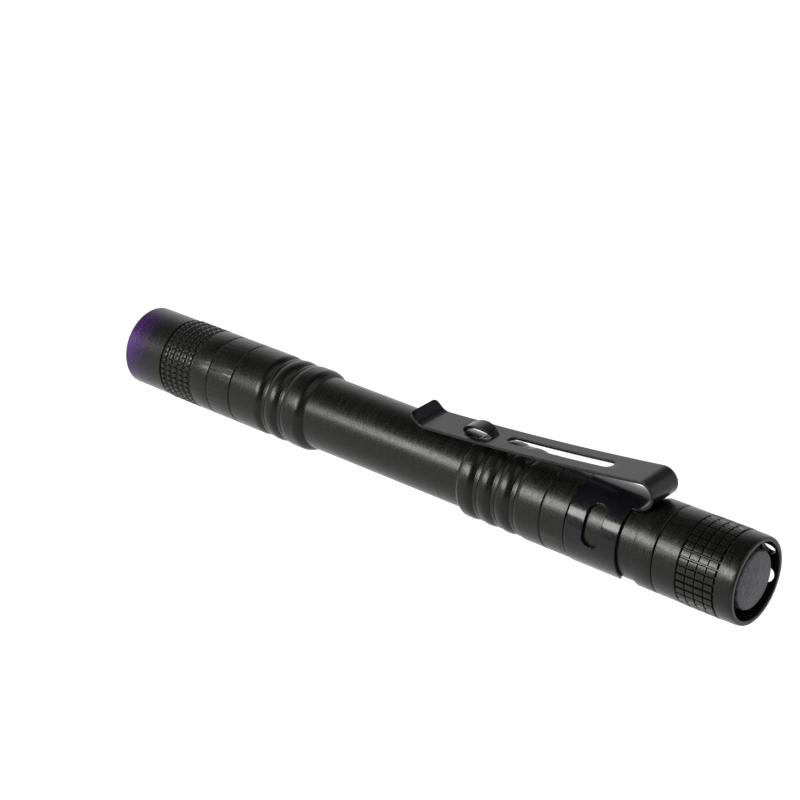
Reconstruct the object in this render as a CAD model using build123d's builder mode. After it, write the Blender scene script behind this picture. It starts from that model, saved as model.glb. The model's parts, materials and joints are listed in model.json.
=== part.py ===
"""Counterfeit detector pen: a slim ultraviolet torch for two AAA cells, with a pocket clip.

Every station is measured in millimetres along the barrel from the lens end (0) to the tail rim
(LENGTH).  In the model's own frame the pen lies along X with the lens end at -X, the clip is
straight up (+Z), and the knurled rings touch Z = 0.
"""
import os
from math import asin, cos, degrees, radians, sin

from build123d import *

os.makedirs("parts", exist_ok=True)

# ---------------------------------------------------------------- driving dimensions
LENGTH = 130.0            # lens rim to tail rim
BARREL_R = 7.25           # full-diameter bands
BEZEL_R = 7.17            # plain front of the head
KNURL_R = 7.30            # crests of the knurled cells, the widest turned diameter
WAIST_R = 6.40            # slim middle of the tube
SEAT_R = 6.86             # turned-down seat of the clip
GROOVE_R = 6.60           # sharp corner behind each rounded rib
BORE_R = 5.40             # battery bore

FIT = 0.05                # radial clearance of screwed and sliding fits
SNUG = 0.02               # radial clearance of pieces that stay together
EDGE = 0.15               # small turned chamfers

# stations of the outside, from the lens end
BEZEL_END = 8.90
HEAD_KNURL_START = 9.15
HEAD_KNURL_PITCH = 1.46
HEAD_KNURL_COLUMNS = 5
HEAD_KNURL_ROWS = 44
HEAD_LINE = 20.70         # fine turned line on the head
HEAD_JOINT = 26.20        # head unscrews from the tube here
FRONT_RIBS = (33.60, 37.35)
WAIST_START = 42.90
WAIST_END = 76.90
REAR_RIBS = (80.50, 84.20, 87.95)
RIB_STRIP = 1.05          # shallow strip that follows each rib's corner
RIB_STRIP_DEPTH = 0.16
RIB_FALL = 1.75           # length of a rib's rounded shoulder
TUBE_LINE = 94.35
SEAT_START = 99.10
SEAT_END = 111.80
TAIL_JOINT = 115.60       # tail cap unscrews from the tube here
TAIL_KNURL_START = 120.10
TAIL_KNURL_PITCH = 1.64
TAIL_KNURL_COLUMNS = 4
TAIL_KNURL_ROWS = 36
KNURL_GAP = 0.34          # width of the cuts between knurled cells
KNURL_DEPTH = 0.34

# screw threads, drawn as plain fits at their pitch diameter
THREAD_R = 6.35
HEAD_THREAD_START = 21.80     # front end of the tube
TAIL_THREAD_END = 119.60      # rear end of the tube
SEAL_OFFSET = 0.75            # O-rings sit this far inside both joints
SEAL_R = 6.11
SEAL_SECTION = 0.25
SEAL_GROOVE_R = 5.84
SEAL_GROOVE_WIDTH = 0.66

# inside the head
LENS_LIP = 2.30
LENS_THICK = 1.50
LENS_SEAL = 0.25              # section radius of the lens O-ring
BEZEL_MOUTH_R = 5.45          # clear opening in front of the lens
BEZEL_LIP_R = 4.95
BEZEL_BORE_R = 5.90
BEZEL_THREAD_R = 6.45
BEZEL_THREAD_END = 12.90
LED_BOARD_START = 13.90
LED_BOARD_THICK = 0.90
PILL_R = 6.20
PILL_END = 21.70
PILL_POCKET_R = 4.80
DRIVER_R = 5.34
DRIVER_START = 19.40
DRIVER_THICK = 1.00
DRIVER_SPRING = (1.60, 0.30, 3)   # coil radius, wire radius, turns

# two AAA cells
CELL_R = 5.25
CELL_LENGTH = 44.50
CELL_FRONT = 24.50            # tip of the front cell's positive cap
CAP_R = 1.90
CAP_HEIGHT = 0.90
JACKET = 0.08
JACKET_INSET = 0.55           # the can shows this far past the jacket at both ends
CAN_SHOULDER_R = 4.65
WASHER_R = 4.40
WASHER_THICK = 0.20

# inside the tail
TAIL_BORE_R = 5.90
RETAINER_START = 119.80
RETAINER_BORE_R = 4.00
RETAINER_HOLE_R = 0.45        # two holes for a pin spanner
SWITCH_BOARD_START = 121.00
SWITCH_BOARD_THICK = 0.70
SWITCH_BODY_END = 125.00
SWITCH_SIDE = 6.60
SWITCH_FLOOR = 0.45
TAIL_SPRING = (3.00, 0.35, 4)
PLUNGER_SPRING = (1.70, 0.14, 3)
LIP_START = 125.75            # inner face of the wall that holds the rubber boot
LIP_END = 126.45              # floor of the tail recess
BOOT_R = 4.85
BOOT_TOP = 129.80
BOOT_WALL = 0.60
TAIL_RIM_BORE_R = 6.35
TAIL_RIM_R = 7.05
LANYARD_R = 1.20
LANYARD_STATION = 128.20
LANYARD_ANGLES = (67.0, 110.0)   # from the clip's side, towards +Y

# pocket clip, stamped from one strip
SHEET = 0.50
CLIP_WIDTH = 6.80
BAND_START = 99.30
BAND_END = 109.00
BAND_ANGLE = 147.0            # half of the arc that the band wraps
BAND_CORNER = 1.90
FOLD_STATION = 110.60
FOLD_R = 2.42                 # outside of the fold
ARM_SLOPE = 6.40              # the arm falls towards the waist, degrees
ARM_LENGTH = 42.8             # fold to curl
ARM_SAG = 0.40                # the arm bows towards the tube by this halfway along
CURL_R = 2.40
CURL_ANGLE = 44.0
CURL_LENGTH = 1.70
SLIT_WIDTH = 2.35
TIP_CORNER = 0.90
SLIT_START = 7.20             # from the fold's centre, along the arm
SLIT_END = 27.90
BRIDGE_START = 30.40
BRIDGE_END = 36.50
BRIDGE_RISE = 1.50
BRIDGE_FOOT = 0.60            # half width of the strap and of the hole at their ends
BRIDGE_WAIST = 1.40           # half width of the strap in the middle
BRIDGE_HOLE = 2.45            # half width of the hole in the middle
WINDOW = (102.60, 105.80)     # oval windows in the band
WINDOW_ANGLES = (36.0, 94.0)

AXIS_Z = KNURL_R

# ---------------------------------------------------------------- working planes
SIDE = Plane(origin=(-LENGTH / 2, 0, AXIS_Z), x_dir=(1, 0, 0), z_dir=(0, -1, 0))
AXLE = Axis((0, 0, AXIS_Z), (1, 0, 0))


def station(s):
    """Cross-section plane at station s: local X is the pen's Y, local Y is its height."""
    return Plane(origin=(s - LENGTH / 2, 0, AXIS_Z), x_dir=(0, 1, 0), z_dir=(1, 0, 0))


def radial(s, angle):
    """Plane at station s whose normal points out of the barrel, angle degrees from the clip."""
    turn = radians(angle)
    return Plane(
        origin=(s - LENGTH / 2, 0, AXIS_Z),
        x_dir=(1, 0, 0),
        z_dir=(0, sin(turn), cos(turn)),
    )


def save(piece, name):
    """Label one finished piece and write its STEP file."""
    piece.part.label = name
    export_step(piece.part, f"parts/{name}.step")


def turned(*points):
    """Revolve a closed outline of (station, radius) points about the barrel's axis."""
    with BuildSketch(SIDE) as outline:
        with BuildLine():
            Polyline(*points, close=True)
        make_face()
    revolve(outline.sketch, axis=AXLE)


def tube(start, end, inner, outer, mode=Mode.ADD):
    """Plain tube, or a disc where inner is 0."""
    with BuildSketch(station(start)) as section:
        Circle(outer)
        if inner > 0:
            Circle(inner, mode=Mode.SUBTRACT)
    extrude(section.sketch, amount=end - start, mode=mode)


def seal(middle, ring_r, section_r):
    """O-ring at a station."""
    with BuildSketch(SIDE) as section:
        with Locations((middle, ring_r)):
            Circle(section_r)
    revolve(section.sketch, axis=AXLE)


def rib(corner):
    """Rounded shoulder down to a sharp corner, then the shallow strip back up to the band."""
    TangentArc((corner - RIB_FALL, BARREL_R), (corner, GROOVE_R), tangent=(1, 0))
    Polyline(
        (corner, GROOVE_R),
        (corner + 0.2, BARREL_R - RIB_STRIP_DEPTH),
        (corner + RIB_STRIP - 0.1, BARREL_R - RIB_STRIP_DEPTH),
        (corner + RIB_STRIP, BARREL_R),
    )


def cut_knurl(start, pitch, columns, rows):
    """Cut ring grooves and lengthwise slots, leaving a grid of small raised cells."""
    end = start + pitch * columns
    floor_r = KNURL_R - KNURL_DEPTH
    for column in range(columns + 1):
        tube(start + pitch * column - KNURL_GAP / 2, start + pitch * column + KNURL_GAP / 2,
             floor_r, KNURL_R + 1, mode=Mode.SUBTRACT)
    with BuildSketch(station(start)) as slots:
        with PolarLocations(KNURL_R, rows):
            Rectangle(2 * KNURL_DEPTH, KNURL_GAP)
    extrude(slots.sketch, amount=end - start, mode=Mode.SUBTRACT)


def coil(start, end, ring_r, wire_r, turns):
    """Compression spring along the barrel, its wire ends inside the two stations."""
    height = end - start - 2 * wire_r
    foot = (start + wire_r - LENGTH / 2, 0, AXIS_Z)
    with BuildLine() as path:
        Helix(pitch=height / turns, height=height, radius=ring_r, center=foot, direction=(1, 0, 0))
    with BuildSketch(Plane(origin=path.line @ 0, z_dir=path.line % 0)) as wire:
        Circle(wire_r)
    sweep(wire.sketch, path=path.line, is_frenet=True)


# ---------------------------------------------------------------- battery tube
with BuildPart() as body_tube:
    with BuildSketch(SIDE):
        with BuildLine():
            Polyline(
                (HEAD_THREAD_START, BORE_R),
                (HEAD_THREAD_START, THREAD_R - EDGE),
                (HEAD_THREAD_START + EDGE, THREAD_R),
                (HEAD_JOINT + FIT, THREAD_R),
                (HEAD_JOINT + FIT, BARREL_R - EDGE),
                (HEAD_JOINT + FIT + EDGE, BARREL_R),
                (FRONT_RIBS[0] - RIB_FALL, BARREL_R),
            )
            for corner, following in zip(FRONT_RIBS, (FRONT_RIBS[1] - RIB_FALL, WAIST_START - 1.7)):
                rib(corner)
                Line((corner + RIB_STRIP, BARREL_R), (following, BARREL_R))
            TangentArc((WAIST_START - 1.7, BARREL_R), (WAIST_START, WAIST_R - 0.08), tangent=(1, 0))
            Polyline(
                (WAIST_START, WAIST_R - 0.08),
                (WAIST_START + 0.35, WAIST_R),
                (WAIST_END, WAIST_R),
                (WAIST_END + 0.5, BARREL_R - 0.25),
                (WAIST_END + 0.9, BARREL_R),
                (REAR_RIBS[0] - RIB_FALL, BARREL_R),
            )
            ends = [corner - RIB_FALL for corner in REAR_RIBS[1:]] + [TUBE_LINE - 0.25]
            for corner, following in zip(REAR_RIBS, ends):
                rib(corner)
                Line((corner + RIB_STRIP, BARREL_R), (following, BARREL_R))
            Polyline(
                (TUBE_LINE - 0.25, BARREL_R),
                (TUBE_LINE, BARREL_R - 0.22),
                (TUBE_LINE + 0.25, BARREL_R),
                (SEAT_START - EDGE, BARREL_R),
                (SEAT_START, BARREL_R - EDGE),
                (SEAT_START, SEAT_R),
                (SEAT_END, SEAT_R),
                (SEAT_END, BARREL_R - EDGE),
                (SEAT_END + EDGE, BARREL_R),
                (TAIL_JOINT - FIT - EDGE, BARREL_R),
                (TAIL_JOINT - FIT, BARREL_R - EDGE),
                (TAIL_JOINT - FIT, THREAD_R),
                (TAIL_THREAD_END - EDGE, THREAD_R),
                (TAIL_THREAD_END, THREAD_R - EDGE),
                (TAIL_THREAD_END, BORE_R),
                (HEAD_THREAD_START, BORE_R),
            )
        make_face()
    revolve(axis=AXLE)
    for middle in (HEAD_JOINT - SEAL_OFFSET, TAIL_JOINT + SEAL_OFFSET):
        tube(middle - SEAL_GROOVE_WIDTH / 2, middle + SEAL_GROOVE_WIDTH / 2,
             SEAL_GROOVE_R, THREAD_R + 1, mode=Mode.SUBTRACT)
save(body_tube, "body_tube")

for name, middle in (
    ("front_o_ring", HEAD_JOINT - SEAL_OFFSET), ("rear_o_ring", TAIL_JOINT + SEAL_OFFSET)
):
    with BuildPart() as o_ring:
        seal(middle, SEAL_R, SEAL_SECTION)
    save(o_ring, name)

# ---------------------------------------------------------------- two AAA cells
for prefix, front in (("front_cell", CELL_FRONT), ("rear_cell", CELL_FRONT + CELL_LENGTH)):
    rear = front + CELL_LENGTH
    can_start = front + CAP_HEIGHT + 0.30
    with BuildPart() as can:
        turned(
            (can_start, 0), (can_start, CAN_SHOULDER_R), (can_start + 0.45, CELL_R - JACKET - SNUG),
            (rear - 0.45, CELL_R - JACKET - SNUG), (rear, CAN_SHOULDER_R), (rear, 0),
        )
    save(can, f"{prefix}_can")

    with BuildPart() as jacket:
        tube(can_start + JACKET_INSET, rear - JACKET_INSET, CELL_R - JACKET, CELL_R)
    save(jacket, f"{prefix}_jacket")

    with BuildPart() as washer:
        tube(can_start - WASHER_THICK, can_start - SNUG / 2, CAP_R + 0.1, WASHER_R)
    save(washer, f"{prefix}_washer")

    with BuildPart() as cap:
        turned(
            (front, 0), (front, CAP_R - EDGE), (front + EDGE, CAP_R),
            (can_start - SNUG / 2, CAP_R), (can_start - SNUG / 2, 0),
        )
    save(cap, f"{prefix}_cap")

# ---------------------------------------------------------------- head
with BuildPart() as head_shell:
    turned(
        (BEZEL_END + FIT, BEZEL_THREAD_R + FIT),
        (BEZEL_END + FIT, KNURL_R - EDGE),
        (BEZEL_END + FIT + EDGE, KNURL_R),
        (HEAD_KNURL_START + HEAD_KNURL_PITCH * HEAD_KNURL_COLUMNS, KNURL_R),
        (HEAD_KNURL_START + HEAD_KNURL_PITCH * HEAD_KNURL_COLUMNS + 0.25, BARREL_R),
        (HEAD_LINE - 0.2, BARREL_R),
        (HEAD_LINE, BARREL_R - 0.14),
        (HEAD_LINE + 0.2, BARREL_R),
        (HEAD_JOINT - FIT - EDGE, BARREL_R),
        (HEAD_JOINT - FIT, BARREL_R - EDGE),
        (HEAD_JOINT - FIT, THREAD_R + FIT),
        (PILL_END + SNUG, THREAD_R + FIT),
        (PILL_END + SNUG, PILL_R + SNUG),
        (BEZEL_THREAD_END + SNUG, PILL_R + SNUG),
        (BEZEL_THREAD_END + SNUG, BEZEL_THREAD_R + FIT),
    )
    cut_knurl(HEAD_KNURL_START, HEAD_KNURL_PITCH, HEAD_KNURL_COLUMNS, HEAD_KNURL_ROWS)
save(head_shell, "head_shell")

with BuildPart() as bezel_ring:
    turned(
        (0, BEZEL_MOUTH_R),
        (0, BEZEL_R - 0.25),
        (0.25, BEZEL_R),
        (BEZEL_END - EDGE, BEZEL_R),
        (BEZEL_END, BEZEL_R - EDGE),
        (BEZEL_END, BEZEL_THREAD_R),
        (BEZEL_THREAD_END, BEZEL_THREAD_R),
        (BEZEL_THREAD_END, BEZEL_BORE_R),
        (LENS_LIP, BEZEL_BORE_R),
        (LENS_LIP, BEZEL_LIP_R),
        (1.50, BEZEL_LIP_R),
    )
save(bezel_ring, "bezel_ring")

lens_start = LENS_LIP + 2 * LENS_SEAL + SNUG
with BuildPart() as lens_o_ring:
    seal(LENS_LIP + LENS_SEAL + SNUG / 2, 5.50, LENS_SEAL)
save(lens_o_ring, "lens_o_ring")

with BuildPart() as lens:
    tube(lens_start, lens_start + LENS_THICK, 0, BEZEL_BORE_R - SNUG)
save(lens, "lens")

reflector_start = lens_start + LENS_THICK + SNUG
reflector_end = BEZEL_THREAD_END + 0.10
with BuildPart() as reflector:
    with BuildSketch(SIDE):
        with BuildLine():
            Bezier((reflector_start, 5.30), (10.45, 3.75), (reflector_end, 2.20))
            Polyline(
                (reflector_end, 2.20),
                (reflector_end, 3.40),
                (9.50, 5.00),
                (7.00, 5.86),
                (reflector_start, 5.86),
                (reflector_start, 5.30),
            )
        make_face()
    revolve(axis=AXLE)
save(reflector, "reflector")

LED_SIDE = 3.45
LED_FACE = LED_BOARD_START - 0.70
DOME_R = 1.40
with BuildPart() as led_gasket:
    with BuildSketch(station(reflector_end + SNUG)):
        Circle(4.6)
        Rectangle(LED_SIDE + 0.2, LED_SIDE + 0.2, mode=Mode.SUBTRACT)
    extrude(amount=LED_BOARD_START - reflector_end - 2 * SNUG)
save(led_gasket, "led_gasket")

with BuildPart() as led_package:
    with BuildSketch(station(LED_FACE)):
        Rectangle(LED_SIDE, LED_SIDE)
    extrude(amount=LED_BOARD_START - LED_FACE - SNUG / 2)
save(led_package, "led_package")

with BuildPart() as led_dome:
    with BuildSketch(SIDE):
        with BuildLine():
            Line((LED_FACE - SNUG, 0), (LED_FACE - SNUG, DOME_R))
            JernArc((LED_FACE - SNUG, DOME_R), (-1, 0), DOME_R, 90)
            Line((LED_FACE - SNUG - DOME_R, 0), (LED_FACE - SNUG, 0))
        make_face()
    revolve(axis=AXLE)
save(led_dome, "led_dome")

WIRE_OFFSET = 2.90
WIRE_R = 0.40
board_end = LED_BOARD_START + LED_BOARD_THICK
with BuildPart() as led_board:
    tube(LED_BOARD_START, board_end, 0, PILL_R - 0.10)
    with BuildSketch(station(LED_BOARD_START)):
        with PolarLocations(PILL_R, 2):
            Circle(0.7)
    extrude(amount=LED_BOARD_THICK, mode=Mode.SUBTRACT)
save(led_board, "led_board")

with BuildPart() as pill:
    turned(
        (board_end + SNUG, 0),
        (board_end + SNUG, PILL_R - EDGE),
        (board_end + SNUG + EDGE, PILL_R),
        (PILL_END, PILL_R),
        (PILL_END, DRIVER_R),
        (DRIVER_START, DRIVER_R),
        (DRIVER_START, PILL_POCKET_R),
        (board_end + 1.80, PILL_POCKET_R),
        (board_end + 1.80, 0),
    )
    with BuildSketch(station(board_end)):
        with PolarLocations(WIRE_OFFSET, 2):
            Circle(WIRE_R + 0.15)
    extrude(amount=2.5, mode=Mode.SUBTRACT)
save(pill, "pill")

with BuildPart() as lead_wires:
    with BuildSketch(station(board_end + SNUG)):
        with PolarLocations(WIRE_OFFSET, 2):
            Circle(WIRE_R)
    extrude(amount=DRIVER_START - board_end - 2 * SNUG)
save(lead_wires, "lead_wires")

with BuildPart() as driver_board:
    tube(DRIVER_START + SNUG, DRIVER_START + DRIVER_THICK, 0, DRIVER_R - SNUG)
save(driver_board, "driver_board")

with BuildPart() as driver_parts:
    with BuildSketch(station(DRIVER_START + SNUG / 2)):
        Rectangle(1.6, 3.0)
        with Locations((0, 3.3), (0, -3.3)):
            Rectangle(1.6, 0.9)
    extrude(amount=-1.0)
save(driver_parts, "driver_parts")

with BuildPart() as driver_spring:
    coil(DRIVER_START + DRIVER_THICK + SNUG, CELL_FRONT - SNUG, *DRIVER_SPRING)
save(driver_spring, "driver_spring")

# ---------------------------------------------------------------- tail cap and switch
with BuildPart() as tail_cap:
    knurl_end = TAIL_KNURL_START + TAIL_KNURL_PITCH * TAIL_KNURL_COLUMNS
    turned(
        (TAIL_JOINT + FIT, THREAD_R + FIT),
        (TAIL_JOINT + FIT, BARREL_R - EDGE),
        (TAIL_JOINT + FIT + EDGE, BARREL_R),
        (TAIL_KNURL_START - 0.25, BARREL_R),
        (TAIL_KNURL_START, KNURL_R),
        (knurl_end, KNURL_R),
        (knurl_end + 0.2, BARREL_R),
        (LENGTH - 0.8, BARREL_R - 0.03),
        (LENGTH - 0.2, TAIL_RIM_R + 0.07),
        (LENGTH, TAIL_RIM_R - 0.05),
        (LENGTH, TAIL_RIM_BORE_R + 0.1),
        (LENGTH - 0.1, TAIL_RIM_BORE_R),
        (LIP_END, TAIL_RIM_BORE_R),
        (LIP_END, BOOT_R + 0.15),
        (LIP_START, BOOT_R + 0.15),
        (LIP_START, TAIL_BORE_R),
        (RETAINER_START - 0.1, TAIL_BORE_R),
        (RETAINER_START - 0.1, THREAD_R + FIT),
    )
    cut_knurl(TAIL_KNURL_START, TAIL_KNURL_PITCH, TAIL_KNURL_COLUMNS, TAIL_KNURL_ROWS)
    for angle in LANYARD_ANGLES:
        with BuildSketch(radial(LANYARD_STATION, angle)):
            Circle(LANYARD_R)
        extrude(amount=2 * BARREL_R, mode=Mode.SUBTRACT)
save(tail_cap, "tail_cap")

with BuildPart() as retaining_ring:
    tube(RETAINER_START, SWITCH_BOARD_START - SNUG, RETAINER_BORE_R, TAIL_BORE_R - SNUG)
    with BuildSketch(station(RETAINER_START)):
        with PolarLocations((RETAINER_BORE_R + TAIL_BORE_R) / 2, 2):
            Circle(RETAINER_HOLE_R)
    extrude(amount=SWITCH_BOARD_START - RETAINER_START, mode=Mode.SUBTRACT)
save(retaining_ring, "retaining_ring")

board_face = SWITCH_BOARD_START + SWITCH_BOARD_THICK
with BuildPart() as switch_board:
    tube(SWITCH_BOARD_START, board_face, 0, TAIL_BORE_R - SNUG)
save(switch_board, "switch_board")

with BuildPart() as tail_spring:
    coil(CELL_FRONT + 2 * CELL_LENGTH + SNUG, SWITCH_BOARD_START - SNUG, *TAIL_SPRING)
save(tail_spring, "tail_spring")

STEM_R = 1.55
COLLAR_R = 2.35
COLLAR_START = 124.00
COLLAR_THICK = 0.45
with BuildPart() as switch_body:
    with BuildSketch(station(board_face + SNUG / 2)):
        RectangleRounded(SWITCH_SIDE, SWITCH_SIDE, 0.6)
    extrude(amount=SWITCH_BODY_END - board_face - SNUG / 2)
    tube(board_face + SWITCH_FLOOR, COLLAR_START + COLLAR_THICK + SNUG,
         0, COLLAR_R + FIT, mode=Mode.SUBTRACT)
    tube(COLLAR_START, SWITCH_BODY_END + 1, 0, STEM_R + FIT, mode=Mode.SUBTRACT)
save(switch_body, "switch_body")

with BuildPart() as plunger_spring:
    coil(board_face + SWITCH_FLOOR + SNUG, COLLAR_START - SNUG, *PLUNGER_SPRING)
save(plunger_spring, "plunger_spring")

STEM_TOP = BOOT_TOP - BOOT_WALL - 0.10
with BuildPart() as plunger:
    tube(COLLAR_START, COLLAR_START + COLLAR_THICK, 0, COLLAR_R)
    tube(COLLAR_START, STEM_TOP, 0, STEM_R)
    fillet(plunger.edges().filter_by(GeomType.CIRCLE).sort_by(Axis.X)[-1], 0.4)
save(plunger, "plunger")

FLANGE_START = SWITCH_BODY_END + 0.05
with BuildPart() as rubber_boot:
    with BuildSketch(SIDE):
        with BuildLine():
            ThreePointArc((BOOT_TOP, 0), (BOOT_TOP - 0.10, 2.0), (BOOT_TOP - 0.38, 4.0))
            TangentArc((BOOT_TOP - 0.38, 4.0), (BOOT_TOP - 1.25, BOOT_R), tangent=(-0.18, 1))
            Polyline(
                (BOOT_TOP - 1.25, BOOT_R),
                (LIP_START - SNUG, BOOT_R),
                (LIP_START - SNUG, TAIL_BORE_R - 0.05),
                (FLANGE_START, TAIL_BORE_R - 0.05),
                (FLANGE_START, BOOT_R - BOOT_WALL),
                (BOOT_TOP - 1.45, BOOT_R - BOOT_WALL),
                (BOOT_TOP - BOOT_WALL - 0.25, 3.6),
                (BOOT_TOP - BOOT_WALL, 2.2),
                (BOOT_TOP - BOOT_WALL, 0),
                (BOOT_TOP, 0),
            )
        make_face()
    revolve(axis=AXLE)
save(rubber_boot, "rubber_boot")

with BuildPart() as switch_spacer:
    tube(board_face + SNUG, FLANGE_START - SNUG, BOOT_R, TAIL_BORE_R - 0.05)
save(switch_spacer, "switch_spacer")


# ---------------------------------------------------------------- pocket clip
def band_shape(inner, outer, half_angle):
    """Ring sector about the clip's side, on a cross-section plane."""
    Circle(outer)
    Circle(inner, mode=Mode.SUBTRACT)
    reach = 3 * outer
    edge = radians(half_angle)
    with BuildLine() as wedge:
        Polyline(
            (0, 0),
            (reach * sin(edge), reach * cos(edge)),
            (0, -reach),
            (-reach * sin(edge), reach * cos(edge)),
            close=True,
        )
    make_face(wedge.edges(), mode=Mode.SUBTRACT)


BAND_R = SEAT_R + 0.04
FOLD_Z = BAND_R + FOLD_R      # the fold's lower leg runs on from the band
with BuildPart() as clip_clamp:
    with BuildSketch(station(BAND_START)):
        band_shape(BAND_R, BAND_R + SHEET, BAND_ANGLE)
    extrude(amount=BAND_END - BAND_START)
    corners = clip_clamp.edges().filter_by(
        lambda edge: abs(edge.length - SHEET) < 0.01 and edge.center().Z < AXIS_Z
    )
    fillet(corners, BAND_CORNER)
    low, high = WINDOW
    middle = sum(WINDOW_ANGLES) / 2
    half_arc = radians((WINDOW_ANGLES[1] - WINDOW_ANGLES[0]) / 2) * BAND_R
    for side in (-1, 1):
        with BuildSketch(radial((low + high) / 2, side * middle)):
            SlotOverall(2 * half_arc, high - low, rotation=90)
        extrude(amount=2 * BARREL_R, mode=Mode.SUBTRACT)
    # neck: the band runs on, curved round the tube below and flat on top, to the fold
    neck_overlap = 0.5
    with BuildSketch(station(BAND_END - neck_overlap)):
        Circle(BAND_R + SHEET)
        Rectangle(CLIP_WIDTH, 2 * (BAND_R + SHEET), mode=Mode.INTERSECT)
        with Locations((0, BAND_R + SHEET - 0.25)):
            Rectangle(CLIP_WIDTH, 0.5)
        Circle(BAND_R, mode=Mode.SUBTRACT)
        with Locations((0, -LENGTH / 2)):
            Rectangle(LENGTH, LENGTH, mode=Mode.SUBTRACT)
    extrude(amount=FOLD_STATION - BAND_END + neck_overlap)
    with BuildSketch(SIDE):
        with Locations((FOLD_STATION, FOLD_Z)):
            Circle(FOLD_R)
            Circle(FOLD_R - SHEET, mode=Mode.SUBTRACT)
        with Locations((FOLD_STATION - FOLD_R, FOLD_Z)):
            Rectangle(2 * FOLD_R, 4 * FOLD_R, mode=Mode.SUBTRACT)
        with Locations((FOLD_STATION, FOLD_Z + FOLD_R)):
            Rectangle(4 * FOLD_R, 2 * FOLD_R, mode=Mode.SUBTRACT)
    extrude(amount=CLIP_WIDTH / 2, both=True)
save(clip_clamp, "clip_clamp")

# The arm is drawn along its own side plane, which leans by ARM_SLOPE about the fold's centre:
# local X runs from the fold to the tip, local Y is the height above the fold's centre.
lean = radians(ARM_SLOPE)
FOLD_CENTRE = (FOLD_STATION - LENGTH / 2, 0, AXIS_Z + FOLD_Z)
ARM_SIDE = Plane(origin=FOLD_CENTRE, x_dir=(-cos(lean), 0, -sin(lean)), z_dir=(0, 1, 0))
ARM_FACE = Plane(origin=FOLD_CENTRE, x_dir=ARM_SIDE.x_dir, z_dir=ARM_SIDE.y_dir)
ARM_TOP = FOLD_R
ARM_UNDER = FOLD_R - SHEET
FOLD_GAP = 0.02           # the arm's half of the fold starts just above the clamp's half


def fold_point(radius, angle):
    """Point on the fold, angle degrees round from the clamp's half towards the arm."""
    turn = radians(180 + ARM_SLOPE - angle)
    return (radius * cos(turn), radius * sin(turn))


def bowed(start, end, foot, middle):
    """Outline along the arm whose two long sides bow outwards from foot to middle half width."""
    half = (start + end) / 2
    with BuildLine() as outline:
        ThreePointArc((start, foot), (half, middle), (end, foot))
        Line((end, foot), (end, -foot))
        ThreePointArc((end, -foot), (half, -middle), (start, -foot))
        Line((start, -foot), (start, foot))
    make_face(outline.edges())


def curl_point(radius, angle, beyond=0.0):
    """Point on the curled tip, and beyond it along the tip's straight end."""
    turn = radians(angle)
    return (
        ARM_LENGTH + radius * sin(turn) + beyond * cos(turn),
        ARM_TOP + CURL_R - radius * cos(turn) + beyond * sin(turn),
    )


with BuildPart() as clip_arm:
    with BuildSketch(ARM_SIDE):
        with BuildLine():
            start_out = degrees(asin(FOLD_GAP / ARM_TOP))
            start_in = degrees(asin(FOLD_GAP / ARM_UNDER))
            ThreePointArc(
                (0, ARM_TOP), fold_point(ARM_TOP, 45), fold_point(ARM_TOP, start_out)
            )
            Line(fold_point(ARM_TOP, start_out), fold_point(ARM_UNDER, start_in))
            ThreePointArc(
                fold_point(ARM_UNDER, start_in), fold_point(ARM_UNDER, 45), (0, ARM_UNDER)
            )
            ThreePointArc(
                (0, ARM_UNDER),
                (ARM_LENGTH / 2, ARM_UNDER - ARM_SAG),
                (ARM_LENGTH, ARM_UNDER),
            )
            ThreePointArc(
                (ARM_LENGTH, ARM_UNDER),
                curl_point(CURL_R + SHEET, CURL_ANGLE / 2),
                curl_point(CURL_R + SHEET, CURL_ANGLE),
            )
            Polyline(
                curl_point(CURL_R + SHEET, CURL_ANGLE),
                curl_point(CURL_R + SHEET, CURL_ANGLE, CURL_LENGTH),
                curl_point(CURL_R, CURL_ANGLE, CURL_LENGTH),
                curl_point(CURL_R, CURL_ANGLE),
            )
            ThreePointArc(
                curl_point(CURL_R, CURL_ANGLE),
                curl_point(CURL_R, CURL_ANGLE / 2),
                (ARM_LENGTH, ARM_TOP),
            )
            ThreePointArc(
                (ARM_LENGTH, ARM_TOP), (ARM_LENGTH / 2, ARM_TOP - ARM_SAG), (0, ARM_TOP)
            )
        make_face()
    extrude(amount=CLIP_WIDTH / 2, both=True)
    tip_corners = clip_arm.edges().filter_by(
        lambda edge: abs(edge.length - SHEET) < 0.01
    ).sort_by(Axis.X)[:2]
    fillet(tip_corners, TIP_CORNER)

    with BuildSketch(ARM_FACE):
        with Locations(((SLIT_START + SLIT_END) / 2, 0)):
            SlotOverall(SLIT_END - SLIT_START, SLIT_WIDTH)
        bowed(BRIDGE_START, BRIDGE_END, BRIDGE_FOOT, BRIDGE_HOLE)
    extrude(amount=2 * FOLD_R, both=True, mode=Mode.SUBTRACT)

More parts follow.
